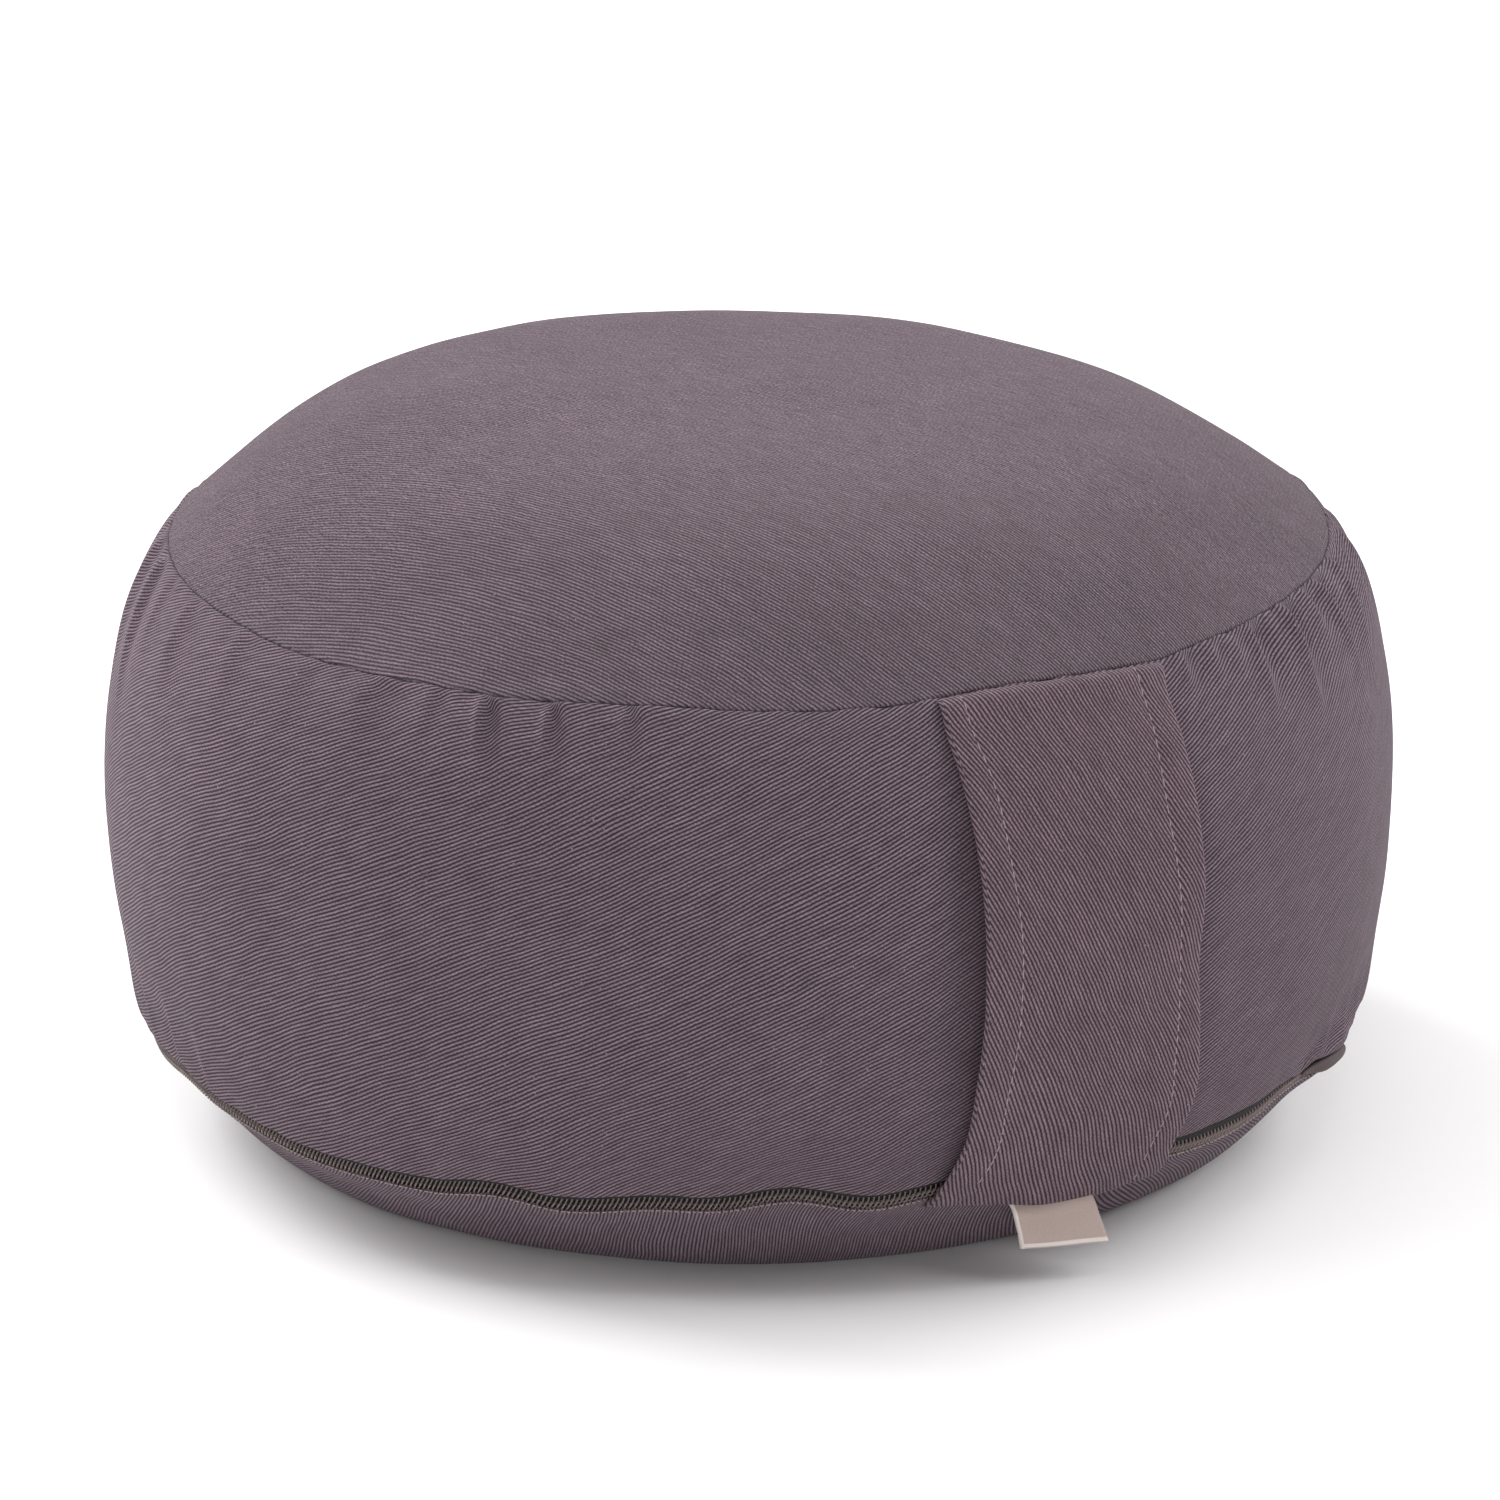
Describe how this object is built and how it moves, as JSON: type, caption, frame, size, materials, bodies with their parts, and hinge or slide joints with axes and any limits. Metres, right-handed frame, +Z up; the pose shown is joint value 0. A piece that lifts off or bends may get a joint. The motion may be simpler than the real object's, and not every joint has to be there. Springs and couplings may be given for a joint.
{
  "type": "zafu meditation cushion",
  "caption": "Round filled floor cushion in cotton twill: crowned top, bulging gathered side band, zip in the lower seam, flat carrying strap and bare label tab.",
  "frame": {"origin": "centre of the flat resting face on the underside", "axes": "+Z up through the crown, the carrying strap centred on -Y"},
  "size_m": [0.3312, 0.3367, 0.1883],
  "materials": {
    "cotton_twill": "matt cotton twill, mauve grey, fine diagonal rib",
    "strap_twill": "matt cotton twill, folded double, edges topstitched",
    "zip_weave": "woven tape, dark brown grey",
    "zip_nylon": "moulded nylon coil, soft sheen",
    "satin_tab": "woven satin ribbon, taupe, bare"
  },
  "bodies": {
    "root": {"side_band": "cotton_twill", "top_panel": "cotton_twill", "bottom_panel": "cotton_twill", "carry_handle": "strap_twill", "zip_tape": "zip_weave", "zip_coil": "zip_nylon", "label_tab": "satin_tab"}
  },
  "joints": []
}
